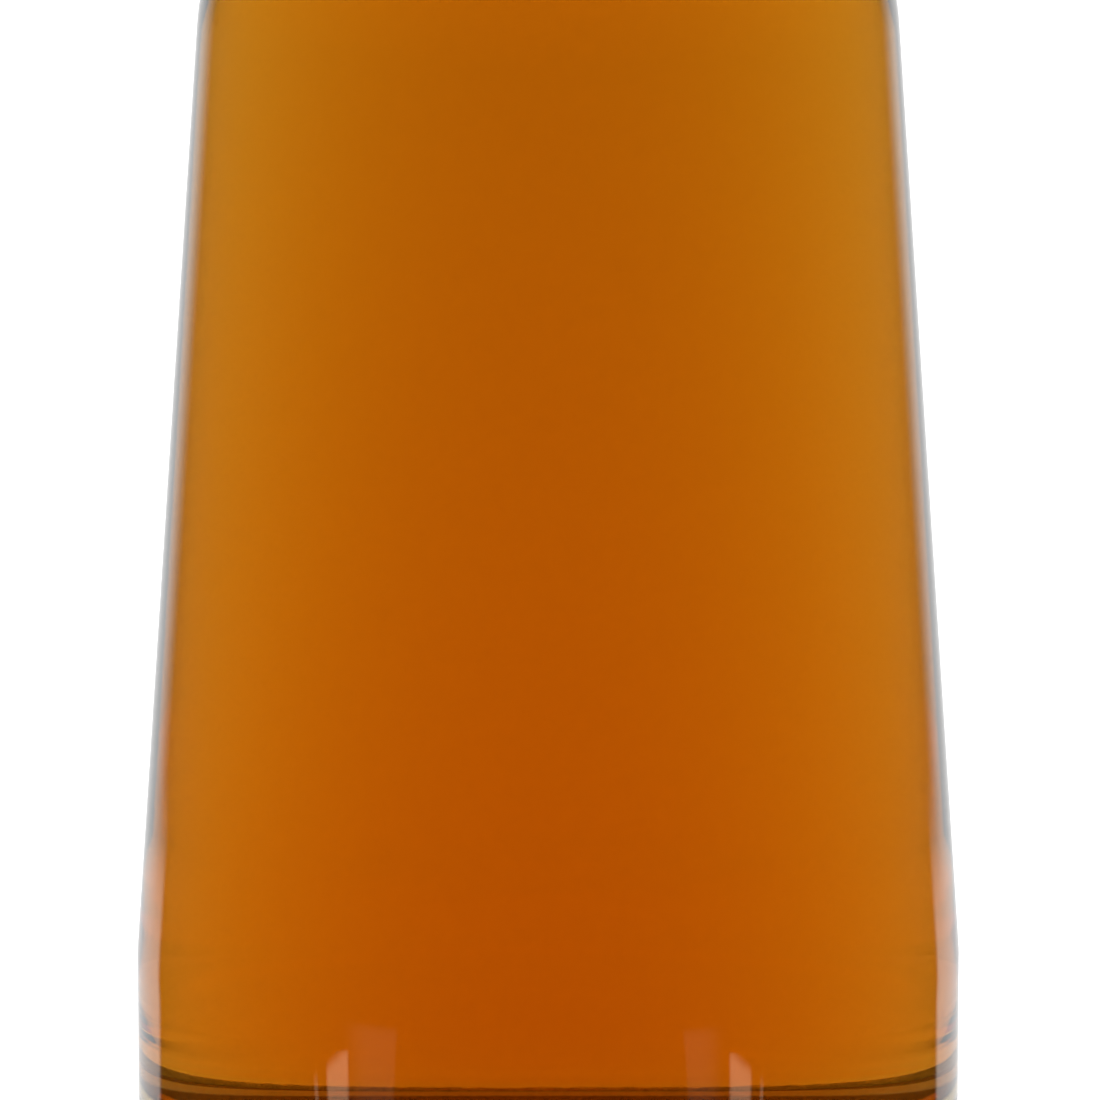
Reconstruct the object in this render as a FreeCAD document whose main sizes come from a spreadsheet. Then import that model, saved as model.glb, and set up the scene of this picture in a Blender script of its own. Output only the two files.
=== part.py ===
"""A stoppered spirits bottle in clear glass, filled with tequila.

Lengths are in millimetres. The Z axis is the axis of the bottle, and the ring that it stands on
lies at Z = 0. Every solid is turned about that axis.
"""

import FreeCAD, Part
import os

import Sketcher

# Driving dimensions: alias, value in millimetres, what it sizes.
SIZES = [
    ("base_radius", 47.5, "outside of the upright band above the foot"),
    ("side_height", 27.0, "top of the upright band, where the taper begins"),
    ("taper_length", 120.5, "height of the tapered body"),
    ("shoulder_radius", 38.94, "outside at the top of the taper"),
    ("shoulder_rise", 22.0, "height of the shoulder, from the taper to the neck"),
    ("neck_radius", 15.5, "outside of the neck"),
    ("neck_length", 37.5, "neck with its lip, above the shoulder"),
    ("lip_ledge", 2.2, "how far the lip ring stands out from the neck"),
    ("lip_height", 9.0, "height of the lip ring"),
    ("lip_round", 1.6, "rounded edges of the lip ring"),
    ("heel_round", 7.0, "rounded outer edge of the foot"),
    ("shoulder_round", 34.0, "outside of the shoulder's bend"),
    ("neck_round", 26.0, "outside of the bend into the neck"),
    ("bearing_width", 4.5, "flat ring that the bottle stands on"),
    ("push_up_depth", 4.0, "height of the dome under the foot"),
    ("push_up_round", 1.5, "rounded rim of that dome"),
    ("wall_low", 3.8, "glass at the upright band"),
    ("wall_high", 2.8, "glass at the top of the taper"),
    ("floor_height", 7.0, "outer edge of the floor inside"),
    ("floor_rise", 2.0, "how far the middle of the floor stands above its edge"),
    ("floor_round", 5.0, "bend from the floor into the wall"),
    ("bore_radius", 9.3, "inside of the neck"),
    ("shoulder_round_inside", 30.0, "inside of the shoulder's bend"),
    ("neck_round_inside", 26.0, "inside of the bend into the neck"),
    ("mouth_round", 0.8, "rounded edge of the mouth"),
    ("headspace", 41.0, "from the lip down to the surface of the drink"),
    ("cork_length", 24.0, "cork inside the neck"),
    ("cork_clearance", 0.05, "between the cork and the bore"),
    ("cork_chamfer", 1.2, "chamfer at the tip of the cork"),
    ("head_radius", 19.0, "outside of the stopper's wooden head"),
    ("head_height", 17.0, "height of the head"),
    ("head_round", 3.0, "rounded upper edge of the head"),
    ("head_chamfer", 1.0, "chamfer at the lower edge of the head"),
    ("bead_height", 4.5, "turned groove of the head, above its lower face"),
    ("bead_width", 1.6, "width of that groove"),
    ("bead_depth", 0.8, "depth of that groove"),
]

# Heights and radii that several pieces share, as expressions on the sheet.
SIDE_TOP = "Sizes.side_height"
SHOULDER = SIDE_TOP + " + Sizes.taper_length"
NECK_ROOT = SHOULDER + " + Sizes.shoulder_rise"
LIP_TOP = NECK_ROOT + " + Sizes.neck_length"
LIP_UNDERSIDE = LIP_TOP + " - Sizes.lip_height"
LIP_RADIUS = "Sizes.neck_radius + Sizes.lip_ledge"
DRINK_TOP = LIP_TOP + " - Sizes.headspace"
CORK_TIP = LIP_TOP + " - Sizes.cork_length"
PUSH_UP_RADIUS = "Sizes.base_radius - Sizes.heel_round - Sizes.bearing_width"
INSIDE_LOW = "Sizes.base_radius - Sizes.wall_low"
INSIDE_HIGH = "Sizes.shoulder_radius - Sizes.wall_high"
BEAD_TOP = "Sizes.bead_height + Sizes.bead_width"
BEAD_FLOOR = "Sizes.head_radius - Sizes.bead_depth"

# Corners are (name, radius, height), from one point on the axis round to the other.
OUTSIDE = [
    ("underside", "0", "0"),
    ("heel", "Sizes.base_radius", "0"),
    ("side_top", "Sizes.base_radius", SIDE_TOP),
    ("shoulder", "Sizes.shoulder_radius", SHOULDER),
    ("neck_root", "Sizes.neck_radius", NECK_ROOT),
    ("lip_inner", "Sizes.neck_radius", LIP_UNDERSIDE),
    ("lip_under", LIP_RADIUS, LIP_UNDERSIDE),
    ("lip_top", LIP_RADIUS, LIP_TOP),
    ("top", "0", LIP_TOP),
]
PUSH_UP = [
    ("crown", "0", "Sizes.push_up_depth"),
    ("rim", PUSH_UP_RADIUS, "0"),
    ("middle", "0", "0"),
]
CAVITY = [
    ("floor", "0", "Sizes.floor_height + Sizes.floor_rise"),
    ("floor_edge", INSIDE_LOW, "Sizes.floor_height"),
    ("side_top", INSIDE_LOW, SIDE_TOP),
    ("shoulder", INSIDE_HIGH, SHOULDER),
    ("neck_root", "Sizes.bore_radius", NECK_ROOT),
    ("mouth", "Sizes.bore_radius", LIP_TOP),
    ("top", "0", LIP_TOP),
]
ABOVE_DRINK = [
    ("surface", "0", DRINK_TOP),
    ("surface_edge", "Sizes.base_radius", DRINK_TOP),
    ("top_edge", "Sizes.base_radius", LIP_TOP),
    ("top", "0", LIP_TOP),
]
TOUCH = 1e-6


def make_sheet(document):
    """The spreadsheet that holds the driving dimensions."""
    sheet = document.addObject("Spreadsheet::Sheet", "Sizes")
    for row, (alias, value, note) in enumerate(SIZES, start=1):
        sheet.set(f"A{row}", alias)
        sheet.set(f"B{row}", str(value))
        sheet.set(f"C{row}", note)
        sheet.setAlias(f"B{row}", alias)
    document.recompute()
    return sheet


def value_of(body, expression):
    """The number that an expression on the sheet gives now."""
    return float(body.evalExpression(expression))


def make_body(document, label, height=None):
    """A body with its own label, lifted to a height that stays bound to the sheet."""
    body = document.addObject("PartDesign::Body", label)
    body.Label = label
    if height is not None:
        body.setExpression("Placement.Base.z", height)
    document.recompute()
    return body


def new_sketch(body, name, plane):
    """An empty sketch on one of the body's origin planes."""
    sketch = body.newObject("Sketcher::SketchObject", name)
    base = [item for item in body.Origin.OriginFeatures if item.Role == plane][0]
    sketch.AttachmentSupport = [(base, "")]
    sketch.MapMode = "FlatFace"
    return sketch


def dimension(sketch, kind, name, place, expression):
    """A named dimension of the sketch, bound to the sheet."""
    size = value_of(sketch, expression)
    number = sketch.addConstraint(Sketcher.Constraint(kind, *place, size))
    sketch.renameConstraint(number, name)
    sketch.setExpression(f"Constraints.{name}", expression)


def dome_arc(edge, crown):
    """The arc from a corner to a crown on the axis, with its centre on the axis."""
    drop = crown.y - edge.y
    radius = (edge.x**2 + drop**2) / (2 * drop)
    centre = FreeCAD.Vector(0, crown.y - radius, 0)
    circle = Part.Circle(centre, FreeCAD.Vector(0, 0, 1), radius)
    return Part.ArcOfCircle(circle, circle.parameter(edge), circle.parameter(crown))


def half_section(body, name, corners, domed=False):
    """A closed half section beside the axis. Its first side is an arc where it is domed."""
    sketch = new_sketch(body, name, "XZ_Plane")
    points = [
        FreeCAD.Vector(value_of(body, radius), value_of(body, height), 0)
        for _, radius, height in corners
    ]
    starts = []
    ends = []
    for index, start in enumerate(points):
        end = points[(index + 1) % len(points)]
        arched = domed and index == 0
        shape = dome_arc(end, start) if arched else Part.LineSegment(start, end)
        side = sketch.addGeometry(shape, False)
        starts.append((side, 2 if arched else 1))
        ends.append((side, 1 if arched else 2))
        if arched:
            sketch.addConstraint(Sketcher.Constraint("PointOnObject", side, 3, -2))
    for index, start in enumerate(starts):
        sketch.addConstraint(Sketcher.Constraint("Coincident", *ends[index - 1], *start))
    for (corner, radius, height), start in zip(corners, starts):
        if radius == "0":
            sketch.addConstraint(Sketcher.Constraint("PointOnObject", *start, -2))
        else:
            dimension(sketch, "DistanceX", f"{corner}_radius", (-1, 1, *start), radius)
        if height == "0":
            sketch.addConstraint(Sketcher.Constraint("PointOnObject", *start, -1))
        else:
            dimension(sketch, "DistanceY", f"{corner}_height", (-1, 1, *start), height)
    body.Document.recompute()
    return sketch


def turn(body, name, corners, domed=False):
    """The solid that a half section makes when it is turned about the axis."""
    sketch = half_section(body, f"{name}_section", corners, domed)
    feature = body.newObject("PartDesign::Revolution", name)
    feature.Profile = sketch
    feature.ReferenceAxis = (sketch, ["V_Axis"])
    feature.Angle = 360
    body.Document.recompute()
    return feature


def turn_away(body, name, corners, domed=False):
    """Cuts away what a half section meets when it is turned about the axis."""
    before = body.Shape.Volume
    sketch = half_section(body, f"{name}_section", corners, domed)
    feature = body.newObject("PartDesign::Groove", name)
    feature.Profile = sketch
    feature.ReferenceAxis = (sketch, ["V_Axis"])
    feature.Angle = 360
    body.Document.recompute()
    if body.Shape.Volume > before - TOUCH:
        raise RuntimeError(f"{name} cut nothing")
    return feature


def ring_edges(shape, radius, height):
    """Names of the shape's circular edges about the axis, at that radius and height."""
    names = []
    for number, edge in enumerate(shape.Edges, start=1):
        curve = None if edge.Degenerated else edge.Curve
        if not isinstance(curve, Part.Circle):
            continue
        if abs(curve.Radius - radius) < TOUCH and abs(curve.Center.z - height) < TOUCH:
            names.append(f"Edge{number}")
    return names


def dress_edges(body, kind, name, places, size, value):
    """Fillets or chamfers the circular edges at those places, each a radius and a height."""
    base = body.Tip
    edges = []
    for radius, height in places:
        edges += ring_edges(base.Shape, value_of(body, radius), value_of(body, height))
    if len(edges) != len(places):
        raise RuntimeError(f"{name} found {len(edges)} edges for {len(places)} places")
    feature = body.newObject(f"PartDesign::{kind}", name)
    feature.Base = (base, edges)
    feature.setExpression(size, value)
    body.Document.recompute()
    if "Invalid" in feature.State:
        raise RuntimeError(f"{name} failed: {feature.getStatusString()}")
    return feature


def round_edges(body, name, places, radius):
    """Fillets the circular edges at those places."""
    return dress_edges(body, "Fillet", name, places, "Radius", radius)


def chamfer_edges(body, name, places, size):
    """Chamfers the circular edges at those places."""
    return dress_edges(body, "Chamfer", name, places, "Size", size)


def round_inside(body):
    """The bends of the cavity, which the glass and the drink share."""
    floor_edge = [(INSIDE_LOW, "Sizes.floor_height")]
    round_edges(body, "floor_bend", floor_edge, "Sizes.floor_round")
    shoulder = [(INSIDE_HIGH, SHOULDER)]
    round_edges(body, "shoulder_bend_inside", shoulder, "Sizes.shoulder_round_inside")
    neck_root = [("Sizes.bore_radius", NECK_ROOT)]
    round_edges(body, "neck_bend_inside", neck_root, "Sizes.neck_round_inside")


def make_bottle(document):
    """The glass: a turned form with a domed underside, hollowed through the mouth."""
    body = make_body(document, "glass_bottle")
    turn(body, "blown_form", OUTSIDE)
    turn_away(body, "push_up", PUSH_UP, domed=True)
    turn_away(body, "cavity", CAVITY, domed=True)
    round_edges(body, "heel", [("Sizes.base_radius", "0")], "Sizes.heel_round")
    round_edges(body, "push_up_rim", [(PUSH_UP_RADIUS, "0")], "Sizes.push_up_round")
    shoulder = [("Sizes.shoulder_radius", SHOULDER)]
    round_edges(body, "shoulder_bend", shoulder, "Sizes.shoulder_round")
    neck_root = [("Sizes.neck_radius", NECK_ROOT)]
    round_edges(body, "neck_bend", neck_root, "Sizes.neck_round")
    lip = [(LIP_RADIUS, LIP_UNDERSIDE), (LIP_RADIUS, LIP_TOP)]
    round_edges(body, "lip_edges", lip, "Sizes.lip_round")
    round_inside(body)
    round_edges(body, "mouth_edge", [("Sizes.bore_radius", LIP_TOP)], "Sizes.mouth_round")
    return body


def make_drink(document):
    """The tequila: the bottle's own cavity, cut level at the headspace."""
    body = make_body(document, "tequila")
    turn(body, "contents", CAVITY, domed=True)
    round_inside(body)
    turn_away(body, "level", ABOVE_DRINK)
    return body


def make_disc(body, name, radius, height):
    """A round block on the body's own origin."""
    sketch = new_sketch(body, f"{name}_circle", "XY_Plane")
    centre = FreeCAD.Vector(0, 0, 0)
    circle = Part.Circle(centre, FreeCAD.Vector(0, 0, 1), value_of(body, radius))
    number = sketch.addGeometry(circle, False)
    sketch.addConstraint(Sketcher.Constraint("Coincident", number, 3, -1, 1))
    dimension(sketch, "Radius", "outside", (number,), radius)
    pad = body.newObject("PartDesign::Pad", name)
    pad.Profile = sketch
    pad.setExpression("Length", height)
    body.Document.recompute()
    return pad


def make_cork(document):
    """The cork of the stopper, from its chamfered tip up to the lip."""
    body = make_body(document, "cork", CORK_TIP)
    radius = "Sizes.bore_radius - Sizes.cork_clearance"
    make_disc(body, "shank", radius, "Sizes.cork_length")
    chamfer_edges(body, "tip_chamfer", [(radius, "0")], "Sizes.cork_chamfer")
    return body


def make_head(document):
    """The turned wooden head of the stopper, which rests on the lip."""
    body = make_body(document, "stopper_head", LIP_TOP)
    groove = [
        ("lower_edge", BEAD_FLOOR, "Sizes.bead_height"),
        ("lower_lip", "Sizes.head_radius", "Sizes.bead_height"),
        ("upper_lip", "Sizes.head_radius", BEAD_TOP),
        ("upper_edge", BEAD_FLOOR, BEAD_TOP),
    ]
    make_disc(body, "head", "Sizes.head_radius", "Sizes.head_height")
    turn_away(body, "turned_groove", groove)
    upper = [("Sizes.head_radius", "Sizes.head_height")]
    round_edges(body, "upper_edge", upper, "Sizes.head_round")
    lower = [("Sizes.head_radius", "0")]
    chamfer_edges(body, "lower_edge", lower, "Sizes.head_chamfer")
    return body


def check(document, bodies):
    """Stops the build at an object that failed or a shape that isn't one sound solid."""
    for item in document.Objects:
        if "Invalid" in item.State or "Error" in item.State:
            raise RuntimeError(f"{item.Name} is {item.State}")
    for body in bodies:
        shape = body.Shape
        if shape.isNull() or not shape.isValid() or len(shape.Solids) != 1:
            raise RuntimeError(f"{body.Label} isn't one sound solid")


def main():
    """Builds the document and writes each piece to its own file."""
    document = FreeCAD.newDocument("tequila_bottle")
    make_sheet(document)
    bodies = [
        make_bottle(document),
        make_drink(document),
        make_cork(document),
        make_head(document),
    ]
    document.recompute()
    check(document, bodies)
    os.makedirs("parts", exist_ok=True)
    for body in bodies:
        body.Shape.exportStep(f"parts/{body.Label}.step")
        print(f"{body.Label}: {body.Shape.Volume / 1000:.1f} cubic centimetres")


main()
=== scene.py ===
"""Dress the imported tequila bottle: clear glass, amber drink, cork and turned wooden head.

Lengths are in metres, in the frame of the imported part: +Z is the axis of the bottle, and the ring
that it stands on lies at Z = 0.
"""

from __future__ import annotations

import logging
import math
from dataclasses import dataclass
from enum import Enum, IntEnum
from typing import Any, Sequence

import bmesh
import bpy
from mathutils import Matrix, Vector

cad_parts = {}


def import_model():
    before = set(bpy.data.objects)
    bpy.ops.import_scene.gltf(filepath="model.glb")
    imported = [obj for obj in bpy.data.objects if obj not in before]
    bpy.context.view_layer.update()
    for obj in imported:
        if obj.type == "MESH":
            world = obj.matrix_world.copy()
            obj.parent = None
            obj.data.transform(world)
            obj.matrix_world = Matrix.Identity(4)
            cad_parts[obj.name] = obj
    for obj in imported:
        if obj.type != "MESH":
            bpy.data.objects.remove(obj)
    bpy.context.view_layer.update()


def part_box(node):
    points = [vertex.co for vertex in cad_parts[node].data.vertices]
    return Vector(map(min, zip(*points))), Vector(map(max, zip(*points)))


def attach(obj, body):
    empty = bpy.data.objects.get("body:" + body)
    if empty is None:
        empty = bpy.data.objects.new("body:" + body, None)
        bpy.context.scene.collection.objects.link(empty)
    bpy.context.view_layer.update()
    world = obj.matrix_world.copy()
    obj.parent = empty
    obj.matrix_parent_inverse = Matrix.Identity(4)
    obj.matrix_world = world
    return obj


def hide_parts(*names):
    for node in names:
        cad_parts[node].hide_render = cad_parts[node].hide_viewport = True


LOG = logging.getLogger("tequila_bottle")
MM = 0.001
ROUND_STEPS = 192
LONG_BEND_STEPS = 24
SHORT_BEND_STEPS = 16
SPACING = 3.0 * MM
SAME_PLACE = 1e-7
STRAIGHT_ON = 1e-4
WELD_DISTANCE = 1e-6
ACROSS = Vector((0.0, 1.0, 0.0))
UP = Vector((0.0, 0.0, 1.0))


# --------------------------------------------------------------------------------------------
# Shader nodes


class Value:
    """A number in a shader, on which Python's operators add Math nodes."""

    def __init__(self, nodes: Nodes, socket: bpy.types.NodeSocket) -> None:
        """Wrap a socket.

        Args:
            nodes: the shader that the socket is in.
            socket: the output that holds the number.
        """
        self.nodes = nodes
        self.socket = socket

    def _math(self, operation: str, first: Any, second: Any) -> Value:
        """Add a Math node.

        Args:
            operation: the node's operation.
            first: its first number or value.
            second: its second number or value.

        Returns:
            The node's result.
        """
        inputs = {0: first, 1: second}
        return self.nodes.value("ShaderNodeMath", {"operation": operation}, inputs)

    def __add__(self, other: Any) -> Value:
        """Return the sum."""
        return self._math("ADD", self, other)

    def __radd__(self, other: Any) -> Value:
        """Return the sum with a number on the left."""
        return self._math("ADD", other, self)

    def __sub__(self, other: Any) -> Value:
        """Return the difference."""
        return self._math("SUBTRACT", self, other)

    def __rsub__(self, other: Any) -> Value:
        """Return the difference from a number on the left."""
        return self._math("SUBTRACT", other, self)

    def __mul__(self, other: Any) -> Value:
        """Return the product."""
        return self._math("MULTIPLY", self, other)

    def __pow__(self, other: Any) -> Value:
        """Return the power."""
        return self._math("POWER", self, other)

    def at_most(self, other: Any) -> Value:
        """Return the smaller of the two."""
        return self._math("MINIMUM", self, other)

    def at_least(self, other: Any) -> Value:
        """Return the larger of the two."""
        return self._math("MAXIMUM", self, other)

    def ramp(self, low: float, high: float) -> Value:
        """Return a smooth step from 0 at low to 1 at high."""
        settings = {"interpolation_type": "SMOOTHSTEP"}
        inputs = {"Value": self, "From Min": low, "From Max": high}
        return self.nodes.value("ShaderNodeMapRange", settings, inputs)

    def between(self, rise: tuple[float, float], fall: tuple[float, float]) -> Value:
        """Return 1 between a smooth rise from 0 and a smooth fall back to it."""
        return self.ramp(*rise) * (1.0 - self.ramp(*fall))

    def size(self) -> Value:
        """Return the number without its sign."""
        return self.at_least(self * -1.0)

    def choose(self, first: Value, second: Value) -> Value:
        """Return the first where this is 1 and the second where it is 0."""
        return self * first + (1.0 - self) * second


class Nodes:
    """A shader's node tree, with one way to add any node."""

    # The places of the colour inputs and the colour output of a Mix node.
    MIX_FIRST = 6
    MIX_SECOND = 7
    MIX_RESULT = 2

    def __init__(self, tree: bpy.types.NodeTree) -> None:
        """Empty the tree and keep it.

        Args:
            tree: the node tree of a material or of the world.
        """
        tree.nodes.clear()
        self.tree = tree

    def add(
        self,
        kind: str,
        settings: dict[str, Any] | None = None,
        inputs: dict[str | int, Any] | None = None,
    ) -> bpy.types.Node:
        """Add a node.

        Args:
            kind: the node's type.
            settings: its own settings, which are set first.
            inputs: numbers, colours, values or sockets for its inputs, by name or place.

        Returns:
            The node.
        """
        node = self.tree.nodes.new(kind)
        for name, setting in (settings or {}).items():
            setattr(node, name, setting)
        for name, given in (inputs or {}).items():
            target = node.inputs[name]
            source = given.socket if isinstance(given, Value) else given
            if isinstance(source, bpy.types.NodeSocket):
                self.tree.links.new(source, target)
            else:
                target.default_value = source
        return node

    def value(self, kind: str, settings: dict[str, Any], inputs: dict, output: Any = 0) -> Value:
        """Add a node and return one of its outputs as a value.

        Args:
            kind: the node's type.
            settings: its own settings.
            inputs: its inputs.
            output: the name or place of the output.

        Returns:
            The output.
        """
        return Value(self, self.add(kind, settings, inputs).outputs[output])

    def axis(self, vector: Any, name: str) -> Value:
        """Return one axis, X, Y or Z, of a vector."""
        return self.value("ShaderNodeSeparateXYZ", {}, {"Vector": vector}, name)

    def object_point(self, scale: tuple[float, float, float] = (1.0, 1.0, 1.0)) -> Any:
        """Return the Object coordinates, scaled."""
        point = self.add("ShaderNodeTexCoord").outputs["Object"]
        inputs = {"Vector": point, "Scale": scale}
        return self.add("ShaderNodeMapping", {}, inputs).outputs["Vector"]

    def noise(self, point: Any, scale: float, detail: float = 3.0, rough: float = 0.5) -> Value:
        """Add a Noise Texture.

        Args:
            point: where it is read.
            scale: its scale.
            detail: its levels of detail.
            rough: its roughness.

        Returns:
            Its value, about 0 to 1.
        """
        inputs = {"Vector": point, "Scale": scale, "Detail": detail, "Roughness": rough}
        return self.value("ShaderNodeTexNoise", {}, inputs, "Fac")

    def blend(self, amount: Any, first: Any, second: Any) -> bpy.types.NodeSocket:
        """Mix two colours.

        Args:
            amount: how much of the second there is.
            first: a colour of three numbers, or a socket.
            second: another.

        Returns:
            The mixed colour.
        """
        settings = {"data_type": "RGBA"}
        node = self.add("ShaderNodeMix", settings, {"Factor": amount})
        for place, colour in ((self.MIX_FIRST, first), (self.MIX_SECOND, second)):
            if isinstance(colour, bpy.types.NodeSocket):
                self.tree.links.new(colour, node.inputs[place])
            else:
                node.inputs[place].default_value = (*colour, 1.0)
        return node.outputs[self.MIX_RESULT]

    def bump(self, height: Value, distance: float, strength: float) -> bpy.types.NodeSocket:
        """Return the normal that a height gives.

        Args:
            height: the height, about 0 to 1.
            distance: how far 1 stands out, in metres.
            strength: how much of it counts.

        Returns:
            The normal.
        """
        inputs = {"Height": height, "Distance": distance, "Strength": strength}
        return self.add("ShaderNodeBump", {}, inputs).outputs["Normal"]

    def finish(self, surface: Any, volume: Any = None) -> None:
        """Join the shaders to the material's output.

        Args:
            surface: the node that shades the surface.
            volume: the node that fills the inside, if there is one.
        """
        output = self.add("ShaderNodeOutputMaterial")
        self.tree.links.new(surface.outputs[0], output.inputs["Surface"])
        if volume is not None:
            self.tree.links.new(volume.outputs[0], output.inputs["Volume"])


def new_material(name: str) -> tuple[bpy.types.Material, Nodes]:
    """Make an empty material.

    Args:
        name: its name.

    Returns:
        The material and its shader.
    """
    material = bpy.data.materials.new(name)
    material.use_nodes = True
    return material, Nodes(material.node_tree)


# --------------------------------------------------------------------------------------------
# Finishes

PIT_SCALE = 900.0


def clear_body(
    name: str,
    index: float,
    tint: Sequence[float],
    density: float,
    shine: float = 1.0,
    pits: float = 0.0,
) -> bpy.types.Material:
    """Make a clear material that colours light along its way through it.

    Args:
        name: the material's name.
        index: how strongly its surface bends light.
        tint: the colour that it lets through.
        density: how strongly it absorbs the rest, for each metre.
        shine: how strongly its surface mirrors what it faces.
        pits: the depth of the fine pits in its surface.

    Returns:
        The material.
    """
    material, nodes = new_material(name)
    inputs = {
        "Base Color": (1.0, 1.0, 1.0, 1.0),
        "Roughness": 0.0,
        "IOR": index,
        "Transmission Weight": 1.0,
        "Specular Tint": (shine, shine, shine, 1.0),
    }
    if pits:
        grain = nodes.noise(nodes.object_point(), PIT_SCALE, 2.0)
        inputs["Normal"] = nodes.bump(grain, pits, 1.0)
    surface = nodes.add("ShaderNodeBsdfPrincipled", {}, inputs)
    inside = {"Color": (*tint, 1.0), "Density": density}
    nodes.finish(surface, nodes.add("ShaderNodeVolumeAbsorption", {}, inside))
    return material


@dataclass(frozen=True)
class ClearGlass:
    """Clear flint glass."""

    index: float = 1.5
    tint: tuple[float, float, float] = (0.93, 0.97, 0.95)
    density: float = 4.0
    stipple: float = 0.15 * MM

    def dry(self) -> bpy.types.Material:
        """Return the glass that meets the air."""
        return clear_body("glass_dry", self.index, self.tint, self.density)

    def wet(self, drink_index: float) -> bpy.types.Material:
        """Return the glass that meets the drink, which bends light by the ratio of the two.

        Args:
            drink_index: how strongly the drink bends light.

        Returns:
            The material.
        """
        ratio = self.index / drink_index
        return clear_body("glass_wet", ratio, self.tint, self.density, shine=0.0)

    def stippled(self) -> bpy.types.Material:
        """Return the glass under the foot, which the mould leaves finely pitted."""
        return clear_body(
            "glass_stippled", self.index, self.tint, self.density, pits=self.stipple
        )


@dataclass(frozen=True)
class AmberSpirit:
    """The aged spirit: amber where it is thin, red-brown where it is thick."""

    index: float = 1.36
    tint: tuple[float, float, float] = (0.90, 0.657, 0.02)
    density: float = 90.0

    def body(self) -> bpy.types.Material:
        """Return the drink inside the glass, whose wet faces have bent the light already."""
        return clear_body("spirit_body", 1.0, self.tint, self.density)

    def surface(self) -> bpy.types.Material:
        """Return the drink where it meets the air."""
        return clear_body("spirit_surface", self.index, self.tint, self.density)


@dataclass(frozen=True)
class NaturalCork:
    """Punched cork: warm tan, mottled, with dark pores and short fissures."""

    pale: tuple[float, float, float] = (0.62, 0.40, 0.22)
    deep: tuple[float, float, float] = (0.45, 0.26, 0.13)
    pore: tuple[float, float, float] = (0.12, 0.06, 0.03)
    mottle_scale: float = 260.0
    fissure_scale: float = 520.0
    fissure_stretch: float = 0.35
    grain_scale: float = 1600.0
    relief: float = 0.25 * MM

    def make(self) -> bpy.types.Material:
        """Return the material."""
        material, nodes = new_material("natural_cork")
        point = nodes.object_point()
        mottle = nodes.noise(point, self.mottle_scale, 4.0, 0.6).ramp(0.35, 0.68)
        long_point = nodes.object_point((1.0, 1.0, self.fissure_stretch))
        fissures = nodes.noise(long_point, self.fissure_scale, 3.0, 0.55).ramp(0.62, 0.70)
        grain = nodes.noise(point, self.grain_scale, 2.0)
        tone = nodes.blend(mottle, self.pale, self.deep)
        colour = nodes.blend(fissures, tone, self.pore)
        height = grain * 0.3 + mottle * 0.3 + (1.0 - fissures) * 0.6
        inputs = {
            "Base Color": colour,
            "Roughness": 0.78 + grain * 0.15,
            "Normal": nodes.bump(height, self.relief, 0.6),
        }
        nodes.finish(nodes.add("ShaderNodeBsdfPrincipled", {}, inputs))
        return material


@dataclass(frozen=True)
class TurnedWood:
    """Dark turned hardwood with a satin finish, its grain upright."""

    pale: tuple[float, float, float] = (0.36, 0.19, 0.09)
    deep: tuple[float, float, float] = (0.13, 0.06, 0.028)
    pore: tuple[float, float, float] = (0.045, 0.02, 0.01)
    grain_stretch: float = 0.08
    wander_stretch: float = 0.3
    wander_scale: float = 45.0
    ring_scale: float = 260.0
    ring_wander: float = 5.5
    ring_turns: float = 2.4
    ring_contrast: float = 1.6
    fibre_scale: float = 1500.0
    pore_scale: float = 2600.0
    relief: float = 0.10 * MM

    def make(self) -> bpy.types.Material:
        """Return the material."""
        material, nodes = new_material("turned_wood")
        upright = nodes.object_point((1.0, 1.0, self.grain_stretch))
        wander_point = nodes.object_point((1.0, 1.0, self.wander_stretch))
        wander = nodes.noise(wander_point, self.wander_scale, 2.0)
        plank = nodes.axis(upright, "X") * self.ring_scale + wander * self.ring_wander
        ring = nodes.value("ShaderNodeMath", {"operation": "SINE"}, {0: plank * self.ring_turns})
        rings = (ring * 0.5 + 0.5) ** self.ring_contrast
        fibre = nodes.noise(upright, self.fibre_scale, 4.0, 0.62)
        pores = nodes.noise(upright, self.pore_scale, 2.0, 0.5).ramp(0.60, 0.68)
        grain = (rings * 0.6 + fibre * 0.55).at_most(1.0)
        tone = nodes.blend(grain, self.deep, self.pale)
        colour = nodes.blend(pores * 0.8, tone, self.pore)
        height = fibre * 0.5 + rings * 0.2 - pores * 0.6
        inputs = {
            "Base Color": colour,
            "Roughness": 0.36 + fibre * 0.16,
            "Normal": nodes.bump(height, self.relief, 0.5),
            "Coat Weight": 0.25,
            "Coat Roughness": 0.3,
        }
        nodes.finish(nodes.add("ShaderNodeBsdfPrincipled", {}, inputs))
        return material


# --------------------------------------------------------------------------------------------
# Turned shapes


@dataclass(frozen=True)
class Corner:
    """A corner of a half section, with the bend that rounds it off."""

    radius: float
    height: float
    bend: float = 0.0
    steps: int = 10

    def point(self) -> Vector:
        """Return the corner in the XZ plane."""
        return Vector((self.radius, 0.0, self.height))


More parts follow.
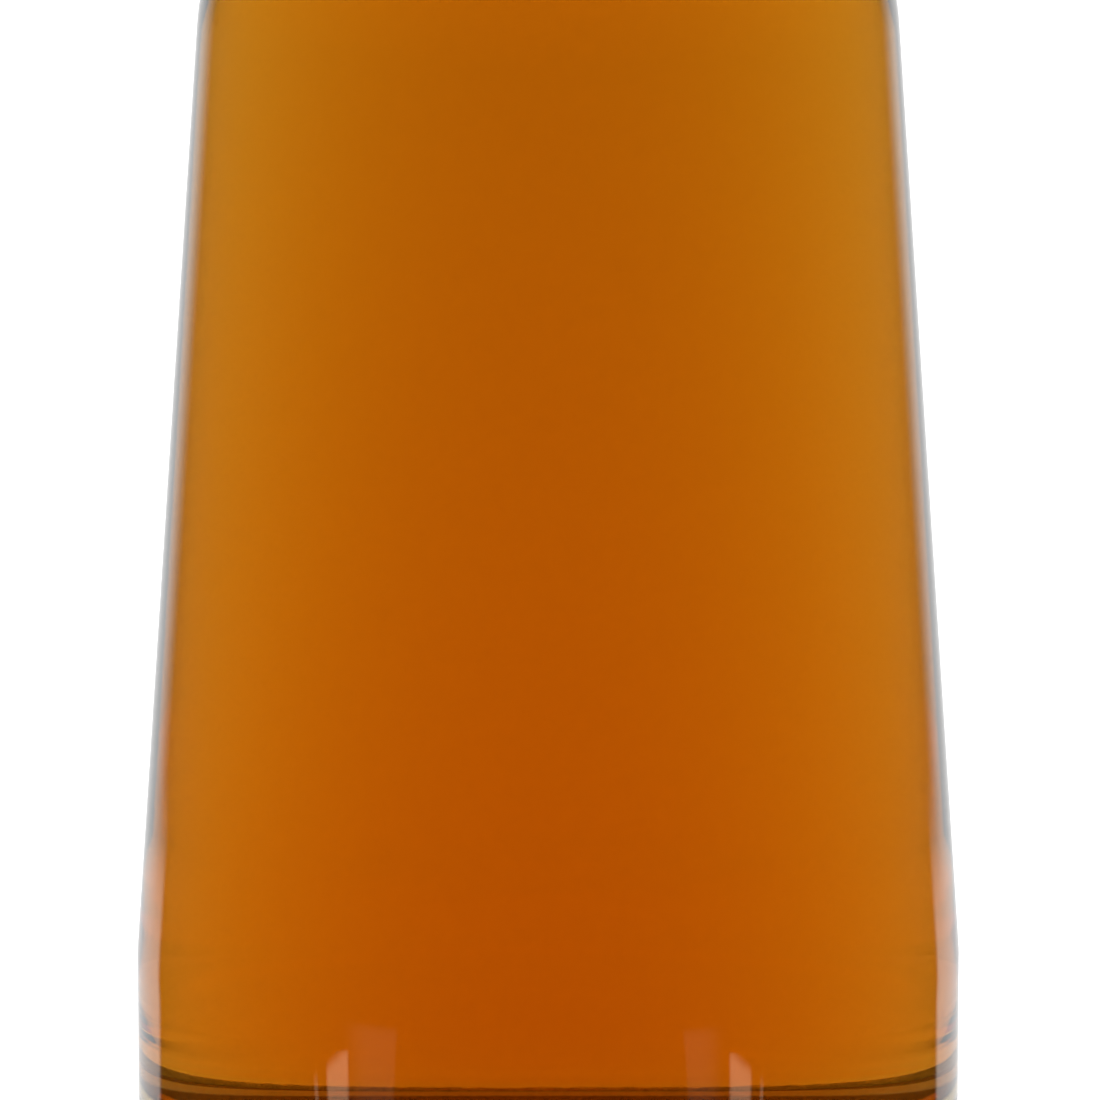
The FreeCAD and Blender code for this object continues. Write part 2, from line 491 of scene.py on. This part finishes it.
class HalfSection:
    """The outline beside the axis that a turned piece is made from, drawn by a pen."""

    def __init__(self, start: Vector, spacing: float = SPACING) -> None:
        """Put the pen down.

        Args:
            start: the outline's first point.
            spacing: the longest piece of a straight run.
        """
        self.bm = bmesh.new()
        self.pen = self.bm.verts.new(start)
        self.spacing = spacing

    def line_to(self, point: Vector) -> None:
        """Draw a straight run."""
        if (point - self.pen.co).length < SAME_PLACE:
            return
        end = self.bm.verts.new(point)
        self.bm.edges.new((self.pen, end))
        self.pen = end

    def arc_about(self, centre: Vector, angle: float, steps: int) -> None:
        """Draw an arc.

        Args:
            centre: its centre.
            angle: how far it turns about the Y axis.
            steps: how many pieces it has.
        """
        arc = bmesh.ops.spin(
            self.bm, geom=[self.pen], cent=centre, axis=ACROSS, angle=angle, steps=steps
        )
        self.pen = next(g for g in arc["geom_last"] if isinstance(g, bmesh.types.BMVert))

    def follow(self, corners: Sequence[Corner], last: Vector) -> None:
        """Draw runs from corner to corner, rounded where a corner has a bend.

        Args:
            corners: the corners on the way.
            last: where the outline goes after them.
        """
        ahead = [corner.point() for corner in corners[1:]] + [last]
        for corner, after in zip(corners, ahead):
            point = corner.point()
            before = (point - self.pen.co).normalized()
            onward = (after - point).normalized()
            turn = before.angle(onward)
            if corner.bend and turn > STRAIGHT_ON:
                side = 1.0 if before.cross(onward).dot(ACROSS) > 0 else -1.0
                self.line_to(point - before * corner.bend * math.tan(turn / 2))
                centre = self.pen.co + ACROSS.cross(before) * side * corner.bend
                self.arc_about(centre, turn * side, corner.steps)
            else:
                self.line_to(point)
        self.line_to(last)

    def turn(self, name: str, steps: int = ROUND_STEPS) -> bpy.types.Object:
        """Turn the outline into a closed piece.

        Args:
            name: the piece's name.
            steps: how many faces go round it.

        Returns:
            The piece, smooth, at the origin.
        """
        for edge in self.bm.edges[:]:
            cuts = int(edge.calc_length() / self.spacing)
            if cuts:
                bmesh.ops.subdivide_edges(self.bm, edges=[edge], cuts=cuts)
        geometry = self.bm.verts[:] + self.bm.edges[:]
        bmesh.ops.spin(
            self.bm,
            geom=geometry,
            cent=(0.0, 0.0, 0.0),
            axis=UP,
            angle=math.tau,
            steps=steps,
            use_merge=True,
        )
        bmesh.ops.remove_doubles(self.bm, verts=self.bm.verts, dist=WELD_DISTANCE)
        bmesh.ops.recalc_face_normals(self.bm, faces=self.bm.faces)
        for face in self.bm.faces:
            face.smooth = True
        mesh = bpy.data.meshes.new(name)
        self.bm.to_mesh(mesh)
        self.bm.free()
        piece = bpy.data.objects.new(name, mesh)
        bpy.context.scene.collection.objects.link(piece)
        return piece


def fatten(piece: bpy.types.Object, amount: float, below: float) -> None:
    """Move a piece's points out along their normals.

    Args:
        piece: the piece.
        amount: how far they move.
        below: the height under which they move.
    """
    normals = [vertex.normal.copy() for vertex in piece.data.vertices]
    for vertex, normal in zip(piece.data.vertices, normals):
        if vertex.co.z < below:
            vertex.co += normal * amount


# --------------------------------------------------------------------------------------------
# Pieces


class GlassFace(IntEnum):
    """The places of the glass's materials, by what its faces meet."""

    DRY = 0
    WET = 1
    STIPPLED = 2


@dataclass
class Bottle:
    """The glass, a foot with a domed underside under one smooth turned wall."""

    base_radius: float
    lip_top: float
    wet_top: float
    side_height: float = 27.0 * MM
    shoulder_radius: float = 38.94 * MM
    shoulder_height: float = 147.5 * MM
    neck_root: float = 169.5 * MM
    neck_radius: float = 15.5 * MM
    lip_ledge: float = 2.2 * MM
    lip_height: float = 9.0 * MM
    lip_round: float = 1.6 * MM
    heel_round: float = 7.0 * MM
    shoulder_round: float = 34.0 * MM
    neck_round: float = 26.0 * MM
    bearing_width: float = 4.5 * MM
    push_up_depth: float = 4.0 * MM
    wall_low: float = 3.8 * MM
    wall_high: float = 2.8 * MM
    floor_height: float = 7.0 * MM
    floor_rise: float = 2.0 * MM
    floor_round: float = 5.0 * MM
    bore_radius: float = 9.3 * MM
    shoulder_round_inside: float = 30.0 * MM
    neck_round_inside: float = 26.0 * MM
    mouth_round: float = 0.8 * MM
    faces_down: float = -0.9
    faces_up: float = 0.3

    def inside_low(self) -> float:
        """Return the cavity's radius at the upright band."""
        return self.base_radius - self.wall_low

    def inside_high(self) -> float:
        """Return the cavity's radius at the top of the taper."""
        return self.shoulder_radius - self.wall_high

    def floor_dome(self) -> tuple[float, float]:
        """Return the radius of the floor's dome and the height of its centre."""
        rim = self.inside_low()
        radius = (rim**2 + self.floor_rise**2) / (2 * self.floor_rise)
        return radius, self.floor_height + self.floor_rise - radius

    def floor_bend(self) -> tuple[Vector, float]:
        """Return the centre of the floor's bend, and how far the dome leans where it starts."""
        dome, centre = self.floor_dome()
        across = self.inside_low() - self.floor_round
        reach = dome + self.floor_round
        height = centre + math.sqrt(reach**2 - across**2)
        return Vector((across, 0.0, height)), math.asin(across / reach)

    def outside(self) -> list[Corner]:
        """Return the corners of the outside, from the foot up to the lip."""
        lip = self.neck_radius + self.lip_ledge
        lip_low = self.lip_top - self.lip_height
        return [
            Corner(self.base_radius, 0.0, self.heel_round, SHORT_BEND_STEPS),
            Corner(self.base_radius, self.side_height),
            Corner(
                self.shoulder_radius, self.shoulder_height, self.shoulder_round, LONG_BEND_STEPS
            ),
            Corner(self.neck_radius, self.neck_root, self.neck_round, LONG_BEND_STEPS),
            Corner(self.neck_radius, lip_low),
            Corner(lip, lip_low, self.lip_round, 8),
            Corner(lip, self.lip_top, self.lip_round, 8),
        ]

    def inside(self) -> list[Corner]:
        """Return the corners of the cavity, from the mouth down to the upright band."""
        return [
            Corner(self.bore_radius, self.lip_top, self.mouth_round, 6),
            Corner(self.bore_radius, self.neck_root, self.neck_round_inside, LONG_BEND_STEPS),
            Corner(
                self.inside_high(), self.shoulder_height, self.shoulder_round_inside,
                LONG_BEND_STEPS,
            ),
            Corner(self.inside_low(), self.side_height),
        ]

    def wall_foot(self) -> Vector:
        """Return the lowest point of the cavity's upright wall."""
        return self.floor_bend()[0] + Vector((self.floor_round, 0.0, 0.0))

    def draw_floor(self, section: HalfSection) -> None:
        """Draw the floor's bend and dome, from the wall to the axis."""
        dome, centre = self.floor_dome()
        bend, lean = self.floor_bend()
        section.line_to(self.wall_foot())
        section.arc_about(bend, math.pi / 2 + lean, LONG_BEND_STEPS)
        section.arc_about(Vector((0.0, 0.0, centre)), -lean, SHORT_BEND_STEPS)

    def build(self, finish: ClearGlass, drink_index: float) -> bpy.types.Object:
        """Build the glass and dress it.

        Args:
            finish: the glass.
            drink_index: how strongly the drink bends light.

        Returns:
            The piece.
        """
        rim = self.base_radius - self.heel_round - self.bearing_width
        dome = (rim**2 + self.push_up_depth**2) / (2 * self.push_up_depth)
        section = HalfSection(Vector((0.0, 0.0, self.push_up_depth)))
        centre = Vector((0.0, 0.0, self.push_up_depth - dome))
        section.arc_about(centre, math.asin(rim / dome), SHORT_BEND_STEPS)
        section.follow(self.outside() + self.inside(), self.wall_foot())
        self.draw_floor(section)
        piece = section.turn("glass_clear")
        for material in (finish.dry(), finish.wet(drink_index), finish.stippled()):
            piece.data.materials.append(material)
        self._share_out(piece)
        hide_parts("glass_bottle")
        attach(piece, "root")
        return piece

    def _share_out(self, piece: bpy.types.Object) -> None:
        """Give the faces under the foot, and those that meet the drink, their own material."""
        for face in piece.data.polygons:
            at = face.center
            if face.normal.z < self.faces_down and at.z < self.floor_height / 2:
                face.material_index = GlassFace.STIPPLED
            # The inner faces point at the axis, or up from the floor.
            towards = face.normal.x * at.x + face.normal.y * at.y < 0
            low = at.z < self.floor_height + self.floor_round
            on_floor = face.normal.z > self.faces_up and low
            if at.z < self.wet_top and (towards or on_floor):
                face.material_index = GlassFace.WET


@dataclass
class Drink:
    """The tequila: the bottle's cavity up to a level surface that climbs a little at the glass."""

    bottle: Bottle
    level: float
    climb: float = 1.2 * MM
    climb_width: float = 2.4 * MM
    climb_steps: int = 8
    climb_curve: float = 2.2
    reach: float = 0.15 * MM
    hair: float = 0.01 * MM
    skin: float = 0.1 * MM
    faces_up: float = 0.2
    top_spacing: float = 1.5 * MM

    def contact(self) -> tuple[Vector, float, float]:
        """Find where the surface meets the neck's inner bend.

        Returns:
            The bend's centre, the radius of the line where they meet, and how far the bend
            turns below it.
        """
        bottle = self.bottle
        bend = bottle.neck_round_inside
        across = bottle.bore_radius + bend
        slope = Vector((bottle.inside_high() - bottle.bore_radius, 0.0,
                        bottle.shoulder_height - bottle.neck_root))
        turn = (-UP).angle(slope)
        height = bottle.neck_root + bend * math.tan(turn / 2)
        drop = height - (self.level + self.climb)
        rim = across - math.sqrt(bend**2 - drop**2)
        return Vector((across, 0.0, height)), rim, turn - math.asin(drop / bend)

    def build(self, finish: AmberSpirit) -> bpy.types.Object:
        """Build the drink and dress it.

        Args:
            finish: the spirit.

        Returns:
            The piece.
        """
        bottle = self.bottle
        centre, rim, turn = self.contact()
        section = HalfSection(Vector((0.0, 0.0, self.level)), spacing=self.top_spacing)
        section.line_to(Vector((rim - self.climb_width, 0.0, self.level)))
        for step in range(1, self.climb_steps + 1):
            share = step / self.climb_steps
            section.line_to(Vector((rim - self.climb_width * (1 - share), 0.0,
                                    self.level + self.climb * share**self.climb_curve)))
        section.arc_about(centre, -turn, SHORT_BEND_STEPS)
        section.spacing = SPACING
        section.follow(bottle.inside()[2:], bottle.wall_foot())
        bottle.draw_floor(section)
        piece = section.turn("tequila_amber")
        fatten(piece, self.reach, self.level - self.hair)
        piece.data.materials.append(finish.body())
        piece.data.materials.append(finish.surface())
        # Only the upper faces inside the rim meet the air.
        for face in piece.data.polygons:
            at = face.center
            inside = math.hypot(at.x, at.y) < rim - self.hair
            on_top = at.z > self.level - self.skin and face.normal.z >= self.faces_up
            if inside and on_top:
                face.material_index = 1
        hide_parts("tequila")
        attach(piece, "root")
        return piece


@dataclass
class Stopper:
    """The stopper: a cork squeezed into the bore under a turned wooden head."""

    cork_tip: float
    lip_top: float
    head_top: float
    head_radius: float
    bore_radius: float
    cork_chamfer: float = 1.2 * MM
    squeeze: float = 0.1 * MM
    head_round: float = 3.0 * MM
    head_chamfer: float = 1.0 * MM
    bead_height: float = 4.5 * MM
    bead_width: float = 1.6 * MM
    bead_depth: float = 0.8 * MM
    tip_soft: float = 0.4 * MM
    chamfer_soft: float = 0.8 * MM
    squeeze_length: float = 0.9 * MM
    wood_soft: float = 0.25 * MM
    spacing: float = 1.0 * MM
    cork_steps: int = 128
    head_steps: int = 160
    crown_steps: int = 14

    def build_cork(self, finish: NaturalCork) -> bpy.types.Object:
        """Build the cork and dress it.

        Args:
            finish: the cork.

        Returns:
            The piece.
        """
        section = HalfSection(Vector((0.0, 0.0, self.cork_tip)), self.spacing)
        radius = self.bore_radius + self.squeeze
        corners = [
            Corner(radius - self.cork_chamfer, self.cork_tip, self.tip_soft, 3),
            Corner(radius, self.cork_tip + self.cork_chamfer, self.chamfer_soft, 4),
            Corner(radius, self.lip_top - self.squeeze_length),
        ]
        section.follow(corners, Vector((radius - self.squeeze * 2, 0.0, self.lip_top)))
        section.line_to(Vector((0.0, 0.0, self.lip_top)))
        piece = section.turn("cork_shank", self.cork_steps)
        piece.data.materials.append(finish.make())
        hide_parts("cork")
        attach(piece, "root")
        return piece

    def build_head(self, finish: TurnedWood) -> bpy.types.Object:
        """Build the head and dress it.

        Args:
            finish: the wood.

        Returns:
            The piece.
        """
        groove_low = self.lip_top + self.bead_height
        groove_high = groove_low + self.bead_width
        floor = self.head_radius - self.bead_depth
        section = HalfSection(Vector((0.0, 0.0, self.lip_top)), self.spacing)
        soft = self.wood_soft
        corners = [
            Corner(self.head_radius - self.head_chamfer, self.lip_top, soft, 3),
            Corner(self.head_radius, self.lip_top + self.head_chamfer, soft, 3),
            Corner(self.head_radius, groove_low, soft, 4),
            Corner(floor, groove_low, soft, 4),
            Corner(floor, groove_high, soft, 4),
            Corner(self.head_radius, groove_high, soft, 4),
            Corner(self.head_radius, self.head_top, self.head_round, self.crown_steps),
        ]
        section.follow(corners, Vector((0.0, 0.0, self.head_top)))
        piece = section.turn("stopper_head_wood", self.head_steps)
        piece.data.materials.append(finish.make())
        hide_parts("stopper_head")
        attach(piece, "root")
        return piece


# --------------------------------------------------------------------------------------------
# Stage, light and camera


class Side(Enum):
    """Where a lamp stands: its direction from the bottle."""

    LEFT = (-1.0, -0.25, 0.7)
    RIGHT = (1.0, -0.25, 0.7)
    ABOVE = (0.0, 0.1, 1.0)
    FRONT = (0.25, -1.0, 0.9)


LAMP_WATTS = {Side.LEFT: 9.0, Side.RIGHT: 9.0, Side.ABOVE: 14.0, Side.FRONT: 3.0}


@dataclass(frozen=True)
class Panels:
    """The lit panels on one side, painted on the floor as highlights that only mirrored rays see,
    each by where it starts and ends, in degrees.

    The tall panel and the thin frame beside it count from where the tall one starts.
    """

    wide_start: tuple[float, float]
    wide_end: tuple[float, float]
    tall_place: float
    frame_start: tuple[float, float]
    frame_end: tuple[float, float]
    tall_start: tuple[float, float] = (0.0, 1.5)
    tall_end: tuple[float, float] = (8.0, 9.5)


LEFT_PANELS = Panels((40.0, 41.5), (50.0, 61.0), 57.5, (12.2, 12.8), (13.6, 14.2))
RIGHT_PANELS = Panels((34.5, 36.0), (41.0, 50.0), 50.5, (12.0, 12.6), (13.4, 14.0))


def kinds_of_ray(nodes: Nodes) -> tuple[Value, Value]:
    """Add switches for two kinds of ray.

    Args:
        nodes: the shader.

    Returns:
        A switch for what the camera sees, itself or through glass, and one for what is mirrored.
    """
    path = nodes.add("ShaderNodeLightPath")
    camera = Value(nodes, path.outputs["Is Camera Ray"])
    through = Value(nodes, path.outputs["Is Transmission Ray"])
    mirrored = Value(nodes, path.outputs["Is Glossy Ray"]) * (1.0 - through)
    return (camera + through).at_most(1.0), mirrored


@dataclass
class Studio:
    """A white floor under soft light, with a painted sheen for glass to mirror: bright behind the
    bottle and dark in front of it.
    """

    floor_radius: float = 9.0
    floor_tone: float = 0.92
    floor_lift: float = 0.18
    far_lift: float = 0.22
    far_from: tuple[float, float] = (0.2, 1.2)
    sheen_edge: tuple[float, float] = (0.77, 0.93)
    sheen_skirt: tuple[float, float] = (0.3, 0.8)
    skirt_share: float = 0.03
    foot_edge: tuple[float, float] = (0.74, 0.785)
    foot_range: tuple[float, float] = (0.15, 0.35)
    foot_radius: float = 47.5 * MM
    mirror_side: float = 0.94
    mirror_ahead: float = 0.34
    painted_highlight_tone: tuple[float, float, float, float] = (1.0, 0.66, 0.42, 1.0)
    panel_side: float = 20.6 * MM
    panel_ahead: float = 42.8 * MM
    wide_glow: float = 0.45
    wide_range: tuple[float, float] = (0.19, 0.24)
    tall_glow: float = 3.4
    tall_range: tuple[float, float] = (0.144, 0.154)
    tall_slant: float = 0.0016
    frame_glow: float = 1.8
    fill: float = 0.72
    lamp_distance: float = 1.6
    lamp_size: float = 1.0

    def build(self) -> None:
        """Build the floor, the lamps and the world."""
        self._floor()
        self._world()
        for side, power in LAMP_WATTS.items():
            self._lamp(side, power)

    def _sheen(self, nodes: Nodes, direction: Any) -> Value:
        """Return the painted sheen that glass mirrors in a direction: bright behind, dim at the
        sides.

        Args:
            nodes: the shader.
            direction: the direction, as a vector of length 1.

        Returns:
            The brightness.
        """
        back = nodes.axis(direction, "Y")
        skirt = back.ramp(*self.sheen_skirt) * self.skirt_share
        return back.ramp(*self.sheen_edge) * (1.0 - self.skirt_share) + skirt

    def _painted_panel_highlights(self, nodes: Nodes, point: Any, reach: Value) -> Value:
        """Return the painted highlights of two lit panels low in front, which only mirrored rays
        see and only the upright band mirrors.

        Args:
            nodes: the shader.
            point: the place on the floor.
            reach: how far it lies from the middle.

        Returns:
            The brightness.
        """
        across = nodes.axis(point, "X")
        beside = across.size() - self.panel_side
        ahead = nodes.axis(point, "Y") * -1.0 - self.panel_ahead
        turned = {0: beside, 1: ahead}
        turn = nodes.value("ShaderNodeMath", {"operation": "ARCTAN2"}, turned) * math.degrees(1.0)
        sides = []
        for plan in (LEFT_PANELS, RIGHT_PANELS):
            past = turn - plan.tall_place
            wide = turn.between(plan.wide_start, plan.wide_end)
            tall = past.between(plan.tall_start, plan.tall_end)
            sides.append((past, wide, tall, past.between(plan.frame_start, plan.frame_end)))
        on_left = across.ramp(0.01, -0.01)
        past, wide, tall, frame = (on_left.choose(left, right) for left, right in zip(*sides))
        near = 1.0 - reach.ramp(*self.wide_range)
        # The taller panels slant at the top.
        low = 1.0 - (reach + past * self.tall_slant).ramp(*self.tall_range)
        bright = (tall * self.tall_glow + frame * self.frame_glow) * low
        return (wide * near * self.wide_glow + bright) * ahead.ramp(0.0, 0.01)

    def _floor(self) -> None:
        """Build the floor, a wide disc that keeps the bottle's shadow."""
        bm = bmesh.new()
        bmesh.ops.create_circle(bm, cap_ends=True, segments=96, radius=self.floor_radius)
        mesh = bpy.data.meshes.new("floor")
        bm.to_mesh(mesh)
        bm.free()
        floor = bpy.data.objects.new("floor", mesh)
        bpy.context.scene.collection.objects.link(floor)
        material, nodes = new_material("floor_white")
        # What the camera sees of the floor, glass shows through itself as well.
        seen, mirrored = kinds_of_ray(nodes)
        point = nodes.add("ShaderNodeTexCoord").outputs["Object"]
        reach = nodes.value("ShaderNodeVectorMath", {"operation": "LENGTH"}, {0: point}, "Value")
        pale = (self.floor_tone, self.floor_tone, self.floor_tone, 1.0)
        matte = nodes.add("ShaderNodeBsdfDiffuse", {}, {"Color": pale})
        level = seen * (reach.ramp(*self.far_from) * self.far_lift + self.floor_lift)
        lift = nodes.add("ShaderNodeEmission", {}, {"Strength": level})
        ground = nodes.add("ShaderNodeAddShader", {}, {0: matte.outputs[0], 1: lift.outputs[0]})
        # The glass mirrors the painted sheen from a place a little in front of its widest line.
        widest = self.foot_radius * self.mirror_side
        beside = (nodes.axis(point, "X").size() - widest).at_least(0.0)
        ahead = self.foot_radius * self.mirror_ahead
        inputs = {"X": beside, "Y": nodes.axis(point, "Y") + ahead}
        past_foot = nodes.add("ShaderNodeCombineXYZ", {}, inputs).outputs[0]
        unit = nodes.add("ShaderNodeVectorMath", {"operation": "NORMALIZE"}, {0: past_foot})
        sheen = self._sheen(nodes, unit.outputs[0])
        # Close to the foot the painted reflection of the white backdrop has a sharper edge.
        sharp = nodes.axis(unit.outputs[0], "Y").ramp(*self.foot_edge)
        sheen = sheen + (sharp - sheen) * (1.0 - reach.ramp(*self.foot_range))
        glow = nodes.add("ShaderNodeEmission", {}, {"Strength": sheen})
        # Painted highlights: warm brightness on the floor that only mirrored rays see, in place of
        # lit panels.
        panels = self._painted_panel_highlights(nodes, point, reach)
        warm = nodes.add("ShaderNodeEmission", {}, {"Color": self.painted_highlight_tone, "Strength": panels})
        bright = nodes.add("ShaderNodeAddShader", {}, {0: glow.outputs[0], 1: warm.outputs[0]})
        # Mirrored rays see the painted sheen and highlights instead of the lit floor.
        inputs = {0: mirrored, 1: ground.outputs[0], 2: bright.outputs[0]}
        nodes.finish(nodes.add("ShaderNodeMixShader", {}, inputs))
        floor.data.materials.append(material)

    def _world(self) -> None:
        """Light the scene evenly, with white behind it and a painted sheen that only mirrored rays
        see.
        """
        world = bpy.data.worlds.new("studio")
        world.use_nodes = True
        bpy.context.scene.world = world
        nodes = Nodes(world.node_tree)
        seen, mirrored = kinds_of_ray(nodes)
        direction = nodes.add("ShaderNodeTexCoord").outputs["Generated"]
        rest = (1.0 - seen) * ((1.0 - mirrored) * self.fill
                               + mirrored * self._sheen(nodes, direction))
        inputs = {"Color": (1.0, 1.0, 1.0, 1.0), "Strength": seen + rest}
        glow = nodes.add("ShaderNodeBackground", {}, inputs)
        output = nodes.add("ShaderNodeOutputWorld")
        nodes.tree.links.new(glow.outputs[0], output.inputs["Surface"])

    def _lamp(self, side: Side, power: float) -> None:
        """Add a soft lamp that glass doesn't mirror.

        Args:
            side: where it stands.
            power: its power in watts.
        """
        place = Vector(side.value).normalized() * self.lamp_distance
        data = bpy.data.lights.new(f"lamp_{side.name.lower()}", "AREA")
        data.shape = "SQUARE"
        data.size = self.lamp_size
        data.energy = power
        lamp = bpy.data.objects.new(data.name, data)
        lamp.location = place
        lamp.rotation_euler = (-place).to_track_quat("-Z", "Y").to_euler()
        lamp.visible_glossy = False
        bpy.context.scene.collection.objects.link(lamp)


@dataclass
class Viewpoint:
    """A camera that looks slightly down at the bottle's lower body."""

    distance: float = 1.0
    elevation: float = math.radians(10.0)
    aim_height: float = 73.4 * MM
    aim_side: float = 0.2 * MM
    field: float = 126.3 * MM
    sensor: float = 36.0
    nearest: float = 0.01
    farthest: float = 50.0

    def build(self) -> None:
        """Add the camera and make it the scene's."""
        data = bpy.data.cameras.new("camera")
        data.sensor_width = self.sensor
        data.lens = self.sensor * self.distance / self.field
        data.clip_start = self.nearest
        data.clip_end = self.farthest
        camera = bpy.data.objects.new("camera", data)
        away = Vector((0.0, -math.cos(self.elevation), math.sin(self.elevation)))
        aim = Vector((self.aim_side, 0.0, self.aim_height))
        camera.location = aim + away * self.distance
        camera.rotation_euler = (-away).to_track_quat("-Z", "Y").to_euler()
        bpy.context.scene.collection.objects.link(camera)
        bpy.context.scene.camera = camera


def corners_of(node: str) -> tuple[Vector, Vector]:
    """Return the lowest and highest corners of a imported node."""
    low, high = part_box(node)
    return Vector(low), Vector(high)


def main() -> None:
    """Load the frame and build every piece."""
    logging.basicConfig(level=logging.INFO, format="%(name)s: %(message)s")
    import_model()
    bpy.context.scene.view_settings.view_transform = "Standard"
    Viewpoint().build()
    Studio().build()
    _, glass_high = corners_of("glass_bottle")
    _, drink_high = corners_of("tequila")
    cork_low, _ = corners_of("cork")
    _, head_high = corners_of("stopper_head")
    bottle = Bottle(base_radius=glass_high.x, lip_top=glass_high.z, wet_top=drink_high.z)
    drink = Drink(bottle=bottle, level=drink_high.z)
    stopper = Stopper(
        cork_tip=cork_low.z,
        lip_top=glass_high.z,
        head_top=head_high.z,
        head_radius=head_high.x,
        bore_radius=bottle.bore_radius,
    )
    spirit = AmberSpirit()
    pieces = [
        bottle.build(ClearGlass(), spirit.index),
        drink.build(spirit),
        stopper.build_cork(NaturalCork()),
        stopper.build_head(TurnedWood()),
    ]
    for piece in pieces:
        LOG.info("%s: %d faces", piece.name, len(piece.data.polygons))


if __name__ == "__main__":
    main()
